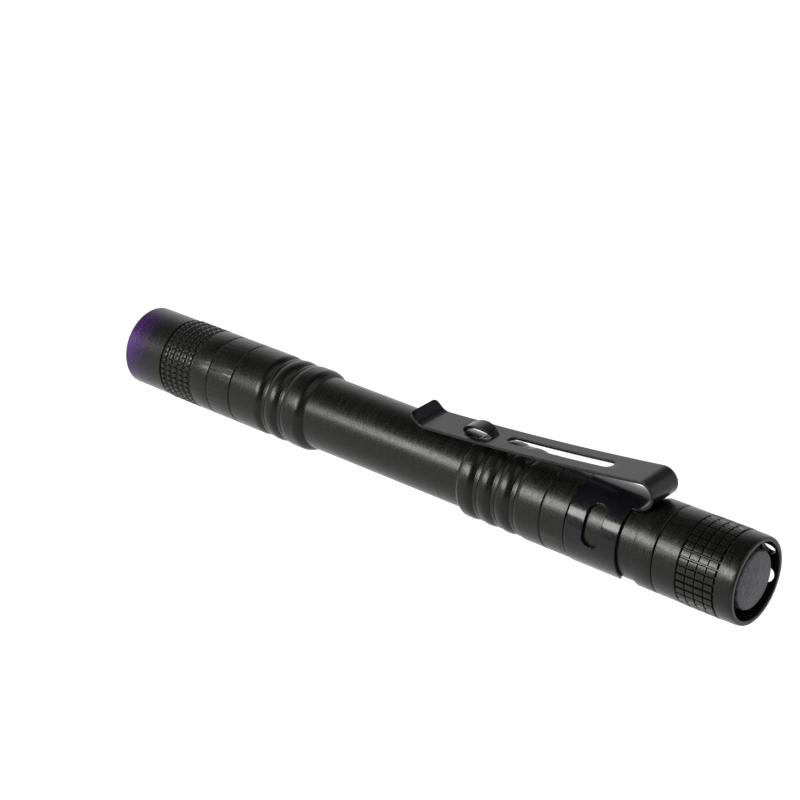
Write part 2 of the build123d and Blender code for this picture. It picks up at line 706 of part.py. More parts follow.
# lanced bridge: a strap pushed up out of the arm, open to both sides
STRAP_LAP = 0.4           # the strap's feet run on into the arm by this
crown = (BRIDGE_START + BRIDGE_END) / 2
along = crown / ARM_LENGTH
strap_top = ARM_TOP - 4 * ARM_SAG * along * (1 - along)
strap_under = strap_top - SHEET
with BuildPart() as strap:
    with BuildSketch(ARM_SIDE) as arch:
        with BuildLine():
            ThreePointArc(
                (BRIDGE_START - STRAP_LAP, strap_top),
                (crown, strap_top + BRIDGE_RISE),
                (BRIDGE_END + STRAP_LAP, strap_top),
            )
            Line((BRIDGE_END + STRAP_LAP, strap_top), (BRIDGE_END, strap_under))
            ThreePointArc(
                (BRIDGE_END, strap_under),
                (crown, strap_under + BRIDGE_RISE),
                (BRIDGE_START, strap_under),
            )
            Line((BRIDGE_START, strap_under), (BRIDGE_START - STRAP_LAP, strap_top))
        make_face()
    extrude(arch.sketch, amount=CLIP_WIDTH / 2, both=True)
    with BuildSketch(ARM_FACE) as plan:
        bowed(BRIDGE_START - STRAP_LAP, BRIDGE_END + STRAP_LAP, BRIDGE_FOOT, BRIDGE_WAIST)
    extrude(plan.sketch, amount=3 * FOLD_R, both=True, mode=Mode.INTERSECT)
with clip_arm:
    add(strap.part)
save(clip_arm, "clip_arm")
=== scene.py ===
import json
from math import acos, atan2, cos, pi, radians, sin, tan

import bmesh
import bpy
import numpy as np
from mathutils import Matrix, Vector


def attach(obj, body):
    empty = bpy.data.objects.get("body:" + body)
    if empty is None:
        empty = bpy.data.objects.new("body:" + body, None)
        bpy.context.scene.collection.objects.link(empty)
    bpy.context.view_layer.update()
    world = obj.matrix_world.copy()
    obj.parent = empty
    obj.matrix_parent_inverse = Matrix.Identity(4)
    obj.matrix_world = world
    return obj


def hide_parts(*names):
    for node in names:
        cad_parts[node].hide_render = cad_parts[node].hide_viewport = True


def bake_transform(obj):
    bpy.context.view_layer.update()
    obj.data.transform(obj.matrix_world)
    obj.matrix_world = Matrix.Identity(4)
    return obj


# Counterfeit detector pen: a black anodised ultraviolet torch with a stamped pocket clip.
# Stations are millimetres along the barrel from the lens end, radii are from its axis, and
# angles run from the clip's side (straight up) towards +Y.  Blender's units are metres.

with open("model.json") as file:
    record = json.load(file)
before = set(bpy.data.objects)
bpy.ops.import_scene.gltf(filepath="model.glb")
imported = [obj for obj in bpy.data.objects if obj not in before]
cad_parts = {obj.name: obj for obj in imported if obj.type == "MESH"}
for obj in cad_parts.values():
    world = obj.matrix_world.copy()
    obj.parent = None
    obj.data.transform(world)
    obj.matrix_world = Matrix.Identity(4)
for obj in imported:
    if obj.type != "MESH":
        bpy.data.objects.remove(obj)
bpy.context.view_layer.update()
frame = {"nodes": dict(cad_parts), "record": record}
nodes = frame["nodes"]

MM = 0.001
LENGTH = 130.0
AXIS_Z = 7.30

# ---------------------------------------------------------------- turned outside
BARREL_R = 7.25
BEZEL_R = 7.17
KNURL_R = 7.30
WAIST_R = 6.40
SEAT_R = 6.86
GROOVE_R = 6.60
BORE_R = 5.40
FIT = 0.05
EDGE = 0.15
SHARP = 40.0                    # degrees between faces that makes a sharp edge

BEZEL_END = 8.90
HEAD_KNURL = (9.15, 1.46, 5, 44)       # start, pitch, columns, rows
HEAD_LINE = 20.70
HEAD_LINE_HALF = 0.18
HEAD_LINE_DEPTH = 0.16
HEAD_JOINT = 26.20
FRONT_RIBS = (33.60, 37.35)
WAIST_START = 42.90
WAIST_END = 76.90
REAR_RIBS = (80.50, 84.20, 87.95)
RIB_SHOULDER = (-1.47, -0.04)   # stations of a rib's profile, from its corner
RIB_FLOOR_END = 0.32
RIB_STRIP = (0.36, 1.07)
RIB_NOTCH = 1.13
RIB_STEP = 1.23
RIB_CREST = 2.08
RIB_STRIP_DEPTH = 0.16          # depths of the profile, below the barrel
RIB_NOTCH_DEPTH = 0.24
RIB_STEP_DEPTH = 0.14
RIB_CREST_DEPTH = 0.13
TUBE_LINE = 94.35
TUBE_LINE_HALF = 0.22
TUBE_LINE_DEPTH = 0.24
SEAT_START = 99.10
SEAT_END = 111.80
TAIL_JOINT = 115.60
TAIL_KNURL = (120.10, 1.64, 4, 36)
KNURL_DEPTH = 0.34
KNURL_RIM = 0.15                # the ring runs this far past its cells
HEAD_AROUND = (0.05, 0.14, 0.10)    # half cut, wall and crown's fall, as shares of a cell
HEAD_ALONG = (0.10, 0.16, 0.34)
TAIL_AROUND = (0.07, 0.10, 0.06)
TAIL_ALONG = (0.02, 0.05, 0.03)

THREAD_R = 6.35
THREAD_ROOT = 5.95
THREAD_PITCH = 0.80
THREAD_STEP = 0.066             # between stations on a thread
HEAD_THREAD_START = 21.80
TAIL_THREAD_END = 119.60
SEAL_OFFSET = 0.75
SEAL_GROOVE_R = 5.84
SEAL_GROOVE_WIDTH = 0.66

# ---------------------------------------------------------------- inside of head and tail
LENS_LIP = 2.30
BEZEL_MOUTH_R = 5.45
BEZEL_LIP_R = 4.95
BEZEL_BORE_R = 5.90
BEZEL_THREAD_R = 6.45
BEZEL_THREAD_END = 12.90
PILL_R = 6.20
PILL_END = 21.70
TAIL_BORE_R = 5.90
TAIL_BORE_START = 119.70
LIP_START = 125.75
LIP_END = 126.45
BOOT_R = 4.85
BOOT_TOP = 129.80
BOOT_CROWN = 129.96             # middle of the slightly domed face
BOOT_DOME = 0.018               # the face falls by this times its radius squared
COIL_BLEND = (122.2, 124.0)     # two stations along the spring under the button
BOOT_WALL = 0.60
FLANGE_START = 125.05
TAIL_RIM_BORE_R = 6.35
TAIL_RIM_R = 7.05
LANYARD_R = 1.20
LANYARD_STATION = 128.20
LANYARD_ANGLES = (67.0, 110.0)  # degrees

# ---------------------------------------------------------------- clip, one stamped strip
SHEET = 0.50
SHEET_EDGE = 0.09
BAND_START = 99.30
BAND_LENGTH = 9.70
BAND_MID = SEAT_R + 0.04 + SHEET / 2
BAND_HALF = radians(147.0) * BAND_MID
BAND_CORNER = 1.90
NECK_END = 11.30                # where the fold starts, along the strip
NECK_CORNER = 0.55
NECK_FLATTENS = 3.30            # the strip goes from curved to flat over this length
FOLD_R = 2.42
FOLD_MID = FOLD_R - SHEET / 2
ARM_SLOPE = 6.40
ARM_LENGTH = 42.8
ARM_SAG = 0.40                  # the arm bows towards the tube by this halfway along
ARM_HALF = 3.40
TIP_CORNER = 0.90
CURL_MID = 2.40 + SHEET / 2
CURL_ANGLE = 44.0
CURL_LENGTH = 1.70
SLIT = (7.20, 27.90, 1.175)     # start and end from the fold, half width
EYE = (30.40, 36.50, 0.60, 2.45)    # start, end, half width at the ends and in the middle
STRAP_WAIST = 1.40
STRAP_RISE = 1.50
STRAP_LAP = 0.40
STRAP_SPAN = 52.0               # degrees of arch each side of its crown
WINDOW = (3.30, 6.50)           # along the strip
WINDOW_ANGLES = (36.0, 94.0)


# ---------------------------------------------------------------- mesh building
def place(s, r, angle):
    """Points in metres from stations, radii and angles."""
    x, y, z = np.broadcast_arrays(
        (s - LENGTH / 2) * MM, r * np.sin(angle) * MM, (AXIS_Z + r * np.cos(angle)) * MM
    )
    return np.stack((x, y, z), axis=-1)


def station_point(s, up=0.0):
    return ((s - LENGTH / 2) * MM, 0, (AXIS_Z + up) * MM)


def smooth(t):
    """Smooth step from 0 to 1."""
    t = np.clip(t, 0.0, 1.0)
    return t * t * (3 - 2 * t)


def rounded(points, radius=0.05, closed=True, step=radians(22)):
    """Outline with its corners rounded.  A point's third number is its own corner radius."""
    out = []
    count = len(points)
    for i, point in enumerate(points):
        here = np.array(point[:2], float)
        to_before = np.array(points[i - 1][:2], float) - here
        to_after = np.array(points[(i + 1) % count][:2], float) - here
        far_before, far_after = np.linalg.norm(to_before), np.linalg.norm(to_after)
        at_end = not closed and i in (0, count - 1)
        own = point[2] if len(point) > 2 else radius
        if at_end or own == 0 or far_before < 1e-9 or far_after < 1e-9:
            out.append(here)
            continue
        to_before /= far_before
        to_after /= far_after
        inside = acos(float(np.clip(to_before @ to_after, -1, 1)))
        turn = pi - inside
        if turn < radians(10) or inside < radians(2):
            out.append(here)
            continue
        reach = min(own / tan(inside / 2), 0.48 * far_before, 0.48 * far_after)
        own = reach * tan(inside / 2)
        bisector = (to_before + to_after) / np.linalg.norm(to_before + to_after)
        centre = here + bisector * own / sin(inside / 2)
        first = here + to_before * reach - centre
        last = here + to_after * reach - centre
        pieces = max(2, round(turn / step))
        for k in range(pieces + 1):
            t = k / pieces
            out.append(
                centre + (sin((1 - t) * turn) * first + sin(t * turn) * last) / sin(turn)
            )
    return np.array(out)


def shoulder(start, end, steps=10):
    """Arc that leaves start level with the barrel and falls to end."""
    run, drop = end[0] - start[0], start[1] - end[1]
    radius = (run * run + drop * drop) / (2 * drop)
    sweep = atan2(run, radius - drop)
    arc = [
        (start[0] + radius * sin(sweep * k / steps), start[1] - radius * (1 - cos(sweep * k / steps)))
        for k in range(steps)
    ]
    return arc + [(end[0], end[1], 0.03)]


def dense(start, end, radius, step):
    """Closely spaced points along a cylinder, for reliefs that change on it."""
    return [(s, radius, 0) for s in np.linspace(start, end, max(2, round((end - start) / step) + 1))]


def add_object(name, mesh):
    """Clean, smooth-shaded object from a mesh in metres."""
    work = bmesh.new()
    work.from_mesh(mesh)
    bmesh.ops.remove_doubles(work, verts=work.verts, dist=2e-7)
    bmesh.ops.dissolve_degenerate(work, edges=work.edges, dist=1e-8)
    bmesh.ops.recalc_face_normals(work, faces=work.faces)
    work.to_mesh(mesh)
    work.free()
    mesh.shade_smooth()
    mesh.set_sharp_from_angle(angle=radians(SHARP))
    obj = bpy.data.objects.new(name, mesh)
    bpy.context.scene.collection.objects.link(obj)
    return obj


def weigh_normals(obj):
    """Large faces keep flat shading beside their small rounded edges."""
    modifier = obj.modifiers.new("weighted_normals", "WEIGHTED_NORMAL")
    modifier.keep_sharp = True
    return obj


def lathe(name, outline, angles, relief=None, closed=True):
    """Outline of (station, radius) points turned about the barrel's axis."""
    s = outline[:, :1]
    r = np.broadcast_to(outline[:, 1:2], (len(outline), len(angles)))
    if relief is not None:
        r = relief(s, r, angles[None, :])
    ring, turn = len(outline), len(angles)
    i, k = np.meshgrid(np.arange(ring if closed else ring - 1), np.arange(turn), indexing="ij")
    after_i, after_k = (i + 1) % ring, (k + 1) % turn
    faces = np.stack(
        (i * turn + k, after_i * turn + k, after_i * turn + after_k, i * turn + after_k), axis=-1
    )
    mesh = bpy.data.meshes.new(name)
    mesh.from_pydata(place(s, r, angles[None, :]).reshape(-1, 3).tolist(), [],
                     faces.reshape(-1, 4).tolist())
    return add_object(name, mesh)


def even_angles(count):
    return np.arange(count) * 2 * pi / count


def combine(obj, operation, rings):
    """Add or cut the closed solid whose skin runs through rings of points."""
    work = bmesh.new()
    rings = [[work.verts.new(point) for point in ring] for ring in rings]
    for low, high in zip(rings, rings[1:]):
        for k in range(len(low)):
            work.faces.new((low[k - 1], low[k], high[k], high[k - 1]))
    work.faces.new(rings[0])
    work.faces.new(rings[-1])
    bmesh.ops.recalc_face_normals(work, faces=work.faces)
    mesh = bpy.data.meshes.new("tool")
    work.to_mesh(mesh)
    work.free()
    tool = bpy.data.objects.new("tool", mesh)
    bpy.context.scene.collection.objects.link(tool)
    modifier = obj.modifiers.new("tool", "BOOLEAN")
    modifier.operation = operation
    modifier.solver = "EXACT"
    modifier.object = tool
    bpy.context.view_layer.update()
    solid = bpy.data.meshes.new_from_object(
        obj.evaluated_get(bpy.context.evaluated_depsgraph_get())
    )
    obj.modifiers.clear()
    obj.data = solid
    solid.shade_smooth()
    solid.set_sharp_from_angle(angle=radians(SHARP))
    bpy.data.objects.remove(tool)


# ---------------------------------------------------------------- knurled rings
def across(u, floor, wall, crown):
    """Height across one cell, 0 in the cut and 1 on the crest; u counts cells."""
    from_cut = np.abs(u - np.round(u))
    rise = smooth((from_cut - floor) / wall)
    return rise * (1 - crown * ((0.5 - from_cut) / (0.5 - floor)) ** 2)


def knurl(layout, around, along):
    """Relief of a knurled ring: a grid of raised cells between ring cuts and lengthwise cuts."""
    start, pitch, columns, rows = layout
    end = start + pitch * columns

    def relief(s, r, angle):
        cells = across(angle * rows / (2 * pi), *around) * across((s - start) / pitch, *along)
        outside = r > BEZEL_THREAD_R + 0.4
        on_ring = (s > start - KNURL_RIM - 0.01) & (s < end + KNURL_RIM + 0.01) & outside
        return np.where(on_ring, r - KNURL_DEPTH * (1 - cells), r)

    return relief


def cell_marks(floor, wall, tops):
    """Places across one cell, from 0 to 1, that follow its cuts, walls and top closely."""
    half = [floor, floor + wall / 3, floor + 2 * wall / 3, floor + wall, *tops]
    return [0.0] + half + [1 - m for m in reversed(half[:-1])]


def knurl_stations(layout, floor, wall):
    start, pitch, columns, _ = layout
    marks = cell_marks(floor, wall, (0.3, 0.4, 0.5))
    return [start + pitch * (c + m) for c in range(columns) for m in marks] + [start + pitch * columns]


def knurl_angles(layout, floor, wall):
    rows = layout[3]
    marks = cell_marks(floor, wall, (0.38, 0.5))
    return np.array([(row + m) * 2 * pi / rows for row in range(rows) for m in marks])


# ---------------------------------------------------------------- battery tube
def rib(corner):
    """Rounded shoulder into a narrow groove, a shallow strip, a fine step and the next crest's rise."""
    strip_r = BARREL_R - RIB_STRIP_DEPTH
    fall_start, fall_end = RIB_SHOULDER
    profile = shoulder((corner + fall_start, BARREL_R), (corner + fall_end, GROOVE_R)) + [
        (corner + RIB_FLOOR_END, GROOVE_R, 0.03),
        (corner + RIB_STRIP[0], strip_r, 0.10),
        (corner + RIB_STRIP[1], strip_r, 0.02),
        (corner + RIB_NOTCH, BARREL_R - RIB_NOTCH_DEPTH, 0.02),
        (corner + RIB_STEP, BARREL_R - RIB_STEP_DEPTH, 0.05),
    ]
    for t in (0.25, 0.5, 0.75, 1.0):
        s = corner + RIB_STEP + (RIB_CREST - RIB_STEP) * t
        profile.append((s, BARREL_R - RIB_CREST_DEPTH * (1 - t) ** 2, 0))
    return profile


def seal_groove(middle):
    low, high = middle - SEAL_GROOVE_WIDTH / 2, middle + SEAL_GROOVE_WIDTH / 2
    return [(low, THREAD_R), (low, SEAL_GROOVE_R), (high, SEAL_GROOVE_R), (high, THREAD_R)]


front_seal, rear_seal = HEAD_JOINT - SEAL_OFFSET, TAIL_JOINT + SEAL_OFFSET
front_thread = (HEAD_THREAD_START + 0.25, front_seal - 0.65)
rear_thread = (rear_seal + 0.65, TAIL_THREAD_END - 0.25)


def thread(s, r, angle):
    """Right-hand screw thread on both ends of the tube, running out smoothly."""
    wave = (s / THREAD_PITCH + angle / (2 * pi)) % 1
    cut = 1 - np.clip(2.6 * np.abs(wave - 0.5) - 0.15, 0, 1)
    depth = np.zeros_like(s)
    for low, high in (front_thread, rear_thread):
        depth = depth + smooth((s - low) / 0.3) * smooth((high - s) / 0.3)
    on_thread = (r > THREAD_R - 0.01) & (r < THREAD_R + 0.01)
    return np.where(on_thread, r - (THREAD_R - THREAD_ROOT) * cut * depth, r)


outline = [
    (HEAD_THREAD_START, BORE_R),
    (HEAD_THREAD_START, THREAD_R - 0.2),
    (HEAD_THREAD_START + 0.2, THREAD_R, 0.02),
    *dense(*front_thread, THREAD_R, THREAD_STEP),
    *seal_groove(front_seal),
    (HEAD_JOINT + FIT, THREAD_R),
    (HEAD_JOINT + FIT, BARREL_R - EDGE),
    (HEAD_JOINT + FIT + EDGE, BARREL_R),
]
for corner in FRONT_RIBS:
    outline += rib(corner)
outline += shoulder((WAIST_START - 1.7, BARREL_R), (WAIST_START, WAIST_R - 0.08), 16)
outline += [
    (WAIST_START + 0.35, WAIST_R, 0.1),
    (WAIST_END, WAIST_R, 0.15),
    (WAIST_END + 0.5, BARREL_R - 0.25, 0.3),
    (WAIST_END + 0.95, BARREL_R, 0.3),
]
for corner in REAR_RIBS:
    outline += rib(corner)
outline += [
    (TUBE_LINE - TUBE_LINE_HALF, BARREL_R, 0.03),
    (TUBE_LINE - 0.04, BARREL_R - TUBE_LINE_DEPTH, 0.01),
    (TUBE_LINE + 0.04, BARREL_R - TUBE_LINE_DEPTH, 0.01),
    (TUBE_LINE + TUBE_LINE_HALF, BARREL_R, 0.03),
    (SEAT_START - EDGE, BARREL_R),
    (SEAT_START, BARREL_R - EDGE),
    (SEAT_START, SEAT_R),
    (SEAT_END, SEAT_R),
    (SEAT_END, BARREL_R - EDGE),
    (SEAT_END + EDGE, BARREL_R),
    (TAIL_JOINT - FIT - EDGE, BARREL_R),
    (TAIL_JOINT - FIT, BARREL_R - EDGE),
    (TAIL_JOINT - FIT, THREAD_R),
    *seal_groove(rear_seal),
    *dense(*rear_thread, THREAD_R, THREAD_STEP),
    (TAIL_THREAD_END - 0.2, THREAD_R, 0.02),
    (TAIL_THREAD_END, THREAD_R - 0.2),
    (TAIL_THREAD_END, BORE_R),
]
body_tube = weigh_normals(lathe("battery_tube", rounded(outline), even_angles(320), thread))

# ---------------------------------------------------------------- head
bezel_outline = [
    (0, BEZEL_MOUTH_R, 0.1),
    (0, BEZEL_R - 0.25, 0.12),
    (0.25, BEZEL_R, 0.12),
    (BEZEL_END - 0.04, BEZEL_R),
    (BEZEL_END, BEZEL_R - 0.04),
    (BEZEL_END, BEZEL_THREAD_R),
    (BEZEL_THREAD_END, BEZEL_THREAD_R),
    (BEZEL_THREAD_END, BEZEL_BORE_R),
    (LENS_LIP, BEZEL_BORE_R),
    (LENS_LIP, BEZEL_LIP_R),
    (1.50, BEZEL_LIP_R, 0.15),
]
bezel = weigh_normals(lathe("bezel", rounded(bezel_outline), even_angles(256)))

head_knurl_end = HEAD_KNURL[0] + HEAD_KNURL[1] * HEAD_KNURL[2]
head_outline = [
    (BEZEL_END + FIT, BEZEL_THREAD_R + FIT),
    (BEZEL_END + FIT, BEZEL_R - 0.02, 0.01),
    (BEZEL_END + FIT + 0.08, KNURL_R, 0.02),
    *[(s, KNURL_R, 0) for s in knurl_stations(HEAD_KNURL, *HEAD_ALONG[:2])],
    (head_knurl_end + KNURL_RIM, KNURL_R, 0),
    (head_knurl_end + KNURL_RIM + 0.02, BARREL_R - 0.05, 0.02),
    (head_knurl_end + KNURL_RIM + 0.11, BARREL_R, 0.02),
    (HEAD_LINE - HEAD_LINE_HALF, BARREL_R, 0.03),
    (HEAD_LINE, BARREL_R - HEAD_LINE_DEPTH, 0.02),
    (HEAD_LINE + HEAD_LINE_HALF, BARREL_R, 0.03),
    (HEAD_JOINT - FIT - EDGE, BARREL_R),
    (HEAD_JOINT - FIT, BARREL_R - EDGE),
    (HEAD_JOINT - FIT, THREAD_R + FIT),
    (PILL_END + 0.02, THREAD_R + FIT),
    (PILL_END + 0.02, PILL_R + 0.02),
    (BEZEL_THREAD_END + 0.02, PILL_R + 0.02),
    (BEZEL_THREAD_END + 0.02, BEZEL_THREAD_R + FIT),
]
head = weigh_normals(lathe(
    "knurled_head", rounded(head_outline), knurl_angles(HEAD_KNURL, *HEAD_AROUND[:2]),
    knurl(HEAD_KNURL, HEAD_AROUND, HEAD_ALONG),
))

# ---------------------------------------------------------------- tail cap
tail_knurl_end = TAIL_KNURL[0] + TAIL_KNURL[1] * TAIL_KNURL[2]
tail_outline = [
    (TAIL_JOINT + FIT, THREAD_R + FIT),
    (TAIL_JOINT + FIT, BARREL_R - EDGE),
    (TAIL_JOINT + FIT + EDGE, BARREL_R),
    (TAIL_KNURL[0] - KNURL_RIM - 0.12, BARREL_R, 0.02),
    (TAIL_KNURL[0] - KNURL_RIM - 0.02, BARREL_R - 0.05, 0.02),
    (TAIL_KNURL[0] - KNURL_RIM, KNURL_R, 0),
    *[(s, KNURL_R, 0) for s in knurl_stations(TAIL_KNURL, *TAIL_ALONG[:2])],
    (tail_knurl_end + KNURL_RIM, KNURL_R, 0),
    (tail_knurl_end + KNURL_RIM + 0.02, BARREL_R - 0.05, 0.02),
    (tail_knurl_end + KNURL_RIM + 0.12, BARREL_R, 0.02),
    (LENGTH - 0.8, BARREL_R - 0.03, 0.3),
    (LENGTH - 0.2, TAIL_RIM_R + 0.07, 0.12),
    (LENGTH, TAIL_RIM_R - 0.05, 0.08),
    (LENGTH, TAIL_RIM_BORE_R + 0.1, 0.04),
    (LENGTH - 0.1, TAIL_RIM_BORE_R, 0.04),
    (LIP_END, TAIL_RIM_BORE_R, 0.15),
    (LIP_END, BOOT_R + 0.15, 0.1),
    (LIP_START, BOOT_R + 0.15),
    (LIP_START, TAIL_BORE_R),
    (TAIL_BORE_START, TAIL_BORE_R),
    (TAIL_BORE_START, THREAD_R + FIT),
]
tail_cap = lathe(
    "knurled_tail_cap", rounded(tail_outline), knurl_angles(TAIL_KNURL, *TAIL_AROUND[:2]),
    knurl(TAIL_KNURL, TAIL_AROUND, TAIL_ALONG),
)


def drill(obj, s, angle, radius, inner, outer):
    """Cut a radial hole with a softened mouth through the wall between two radii."""
    out = Vector((0, sin(angle), cos(angle)))
    along = Vector((1, 0, 0))
    sideways = out.cross(along)
    start = Vector(station_point(s))
    profile = (
        (inner, radius), (outer - 0.22, radius), (outer - 0.12, radius + 0.03),
        (outer - 0.04, radius + 0.11), (outer + 0.8, radius + 0.95),
    )
    combine(obj, "DIFFERENCE", [
        [start + (out * distance + (along * cos(t) + sideways * sin(t)) * wide) * MM
         for t in even_angles(56)]
        for distance, wide in profile
    ])


for angle in LANYARD_ANGLES:
    drill(tail_cap, LANYARD_STATION, radians(angle), LANYARD_R, TAIL_RIM_BORE_R - 1.1, BARREL_R)
weigh_normals(tail_cap)

# ---------------------------------------------------------------- rubber button
boot_outline = [(BOOT_CROWN - BOOT_DOME * r * r, r, 0) for r in np.linspace(0, 4.0, 10)]
boot_outline += [
    (BOOT_CROWN - 0.42, BOOT_R - 0.08, 0.35),
    *dense(BOOT_TOP - 1.2, LIP_END + 0.6, BOOT_R - 0.06, 0.25),
    *dense(LIP_END + 0.35, LIP_START - 0.02, BOOT_R, 0.25),
    (LIP_START - 0.02, TAIL_BORE_R - 0.05, 0.08),
    (FLANGE_START, TAIL_BORE_R - 0.05, 0.08),
    (FLANGE_START, BOOT_R - BOOT_WALL, 0.1),
    *dense(FLANGE_START + 0.3, BOOT_TOP - 1.6, BOOT_R - BOOT_WALL, 0.25),
    (BOOT_TOP - BOOT_WALL - 0.30, 3.6, 0.4),
    (BOOT_TOP - BOOT_WALL - 0.12, 2.2, 0),
    (BOOT_TOP - BOOT_WALL, 0, 0),
]
boot = lathe("button_boot", rounded(boot_outline, closed=False), even_angles(128), closed=False)

# ---------------------------------------------------------------- spring under the button
coil = bpy.data.objects.new("button_spring", nodes["plunger_spring"].data.copy())
bpy.context.scene.collection.objects.link(coil)
coil.data.shade_smooth()

# ---------------------------------------------------------------- pocket clip
ARM_BOW = 8 * ARM_SAG / ARM_LENGTH      # the arm's direction changes by this from end to end
FOLD_TURN = radians(180 + ARM_SLOPE) + ARM_BOW / 2
ARM_START = NECK_END + FOLD_MID * FOLD_TURN
# length and bend of each stretch of the strip, from the band's edge to the tip
STRIP = (
    (NECK_END, 0.0),
    (FOLD_MID * FOLD_TURN, 1 / FOLD_MID),
    (ARM_LENGTH, -ARM_BOW / ARM_LENGTH),
    (CURL_MID * radians(CURL_ANGLE), -1 / CURL_MID),
    (CURL_LENGTH, 0.0),
)
TIP = sum(length for length, _ in STRIP)


def wrap(p, q, h):
    """Bend the flat strip: p along it, q across it and h off its middle, to points in metres."""
    s = np.full_like(p, BAND_START)
    z = np.full_like(p, BAND_MID)
    turn = np.zeros_like(p)
    done = 0.0
    for length, bend in STRIP:
        part = np.clip(p - done, 0, length)
        after = turn + bend * part
        if bend:
            s = s + (np.sin(after) - np.sin(turn)) / bend
            z = z + (np.cos(turn) - np.cos(after)) / bend
        else:
            s = s + np.cos(turn) * part
            z = z + np.sin(turn) * part
        turn = after
        done += length
    curve = np.maximum((1 - smooth((p - BAND_LENGTH) / NECK_FLATTENS)) / BAND_MID, 1e-6)
    side = np.sin(curve * q) * (1 / curve + h)
    lift = np.cos(curve * q) * (1 / curve + h) - 1 / curve
    x = s - np.sin(turn) * lift
    up = z + np.cos(turn) * lift
    return np.stack(((x - LENGTH / 2) * MM, side * MM, (AXIS_Z + up) * MM), axis=-1)


def lens_shape(start, end, foot, middle, steps=14):
    """Outline whose two long sides bow out from foot to middle half width."""
    t = np.linspace(0, 1, steps + 1)
    half = foot + (middle - foot) * (1 - (2 * t - 1) ** 2)
    p = start + (end - start) * t
    top = list(zip(p, half))
    return np.array(top + [(a, -b) for a, b in reversed(top)])


def slot_shape(p0, p1, q0, q1):
    corner = min(p1 - p0, abs(q1 - q0)) / 2 * 0.998
    return rounded(
        [(p0, q0, corner), (p1, q0, corner), (p1, q1, corner), (p0, q1, corner)], step=radians(11)
    )


blank = rounded([
    (0, -BAND_HALF, BAND_CORNER),
    (BAND_LENGTH, -BAND_HALF, BAND_CORNER),
    (BAND_LENGTH, -ARM_HALF, NECK_CORNER),
    (ARM_START, -ARM_HALF, 0),
    (TIP, -ARM_HALF, TIP_CORNER),
    (TIP, ARM_HALF, TIP_CORNER),
    (ARM_START, ARM_HALF, 0),
    (BAND_LENGTH, ARM_HALF, NECK_CORNER),
    (BAND_LENGTH, BAND_HALF, BAND_CORNER),
    (0, BAND_HALF, BAND_CORNER),
], step=radians(11))
window_low, window_high = (radians(a) * BAND_MID for a in WINDOW_ANGLES)
cutouts = [
    slot_shape(*WINDOW, window_low, window_high),
    slot_shape(*WINDOW, -window_high, -window_low),
    slot_shape(ARM_START + SLIT[0], ARM_START + SLIT[1], -SLIT[2], SLIT[2]),
    lens_shape(ARM_START + EYE[0], ARM_START + EYE[1], EYE[2], EYE[3]),
]

pressing = bpy.data.curves.new("pressing", "CURVE")
pressing.dimensions = "2D"
pressing.fill_mode = "BOTH"
pressing.extrude = SHEET / 2 - SHEET_EDGE
pressing.bevel_depth = SHEET_EDGE
pressing.bevel_resolution = 2
pressing.offset = -SHEET_EDGE
for shape in [blank] + cutouts:
    spline = pressing.splines.new("POLY")
    spline.points.add(len(shape) - 1)
    for point, (p, q) in zip(spline.points, shape):
        point.co = (p, q, 0, 1)
    spline.use_cyclic_u = True
flat = bpy.data.objects.new("pressing", pressing)
bpy.context.scene.collection.objects.link(flat)
bpy.context.view_layer.update()
clip_mesh = bpy.data.meshes.new_from_object(flat)
bpy.data.objects.remove(flat)

work = bmesh.new()
work.from_mesh(clip_mesh)
bmesh.ops.remove_doubles(work, verts=work.verts, dist=1e-4)
BEND_STEP, ARM_STEP, ACROSS_STEP = 0.21, 2.0, 0.5      # between the cuts that let the sheet bend
curl_start = ARM_START + ARM_LENGTH
cuts = [
    ((p, 0, 0), (1, 0, 0))
    for low, high, step in (
        (BAND_LENGTH, ARM_START + 0.2, BEND_STEP),
        (ARM_START + ARM_STEP, curl_start - 1, ARM_STEP),
        (curl_start, TIP - CURL_LENGTH + 0.1, BEND_STEP),
    )
    for p in np.arange(low, high, step)
]
cuts += [((0, q, 0), (0, 1, 0)) for q in np.arange(-BAND_HALF + ACROSS_STEP / 2, BAND_HALF, ACROSS_STEP)]
for point, normal in cuts:
    bmesh.ops.bisect_plane(
        work, geom=work.verts[:] + work.edges[:] + work.faces[:], dist=1e-5,
        plane_co=point, plane_no=normal,
    )
flat_points = np.array([v.co for v in work.verts])
for vertex, point in zip(work.verts, wrap(*flat_points.T)):
    vertex.co = point
work.to_mesh(clip_mesh)
work.free()
clip = add_object("pocket_clip", clip_mesh)

# lanced bridge over the eye
strap_start, strap_end = ARM_START + EYE[0] - STRAP_LAP, ARM_START + EYE[1] + STRAP_LAP
strap_middle, strap_half = (strap_start + strap_end) / 2, (strap_end - strap_start) / 2
arch_r = (strap_half ** 2 + STRAP_RISE ** 2) / (2 * STRAP_RISE)
rings = []
for lean in np.radians(np.linspace(-STRAP_SPAN, STRAP_SPAN, 33)):
    t = np.clip(arch_r * sin(lean) / strap_half, -1, 1)
    half = EYE[2] + (STRAP_WAIST - EYE[2]) * (1 - t * t)
    ring = []
    for q, depth in rounded(
        [(-half, 0), (half, 0), (half, SHEET), (-half, SHEET)], radius=SHEET_EDGE
    ):
        reach = arch_r - depth
        p = strap_middle + reach * sin(lean)
        h = -SHEET / 2 - (reach * cos(lean) - (arch_r - STRAP_RISE))
        ring.append(wrap(np.array([p]), np.array([q]), np.array([h]))[0])
    rings.append(ring)
combine(clip, "UNION", rings)
weigh_normals(clip)


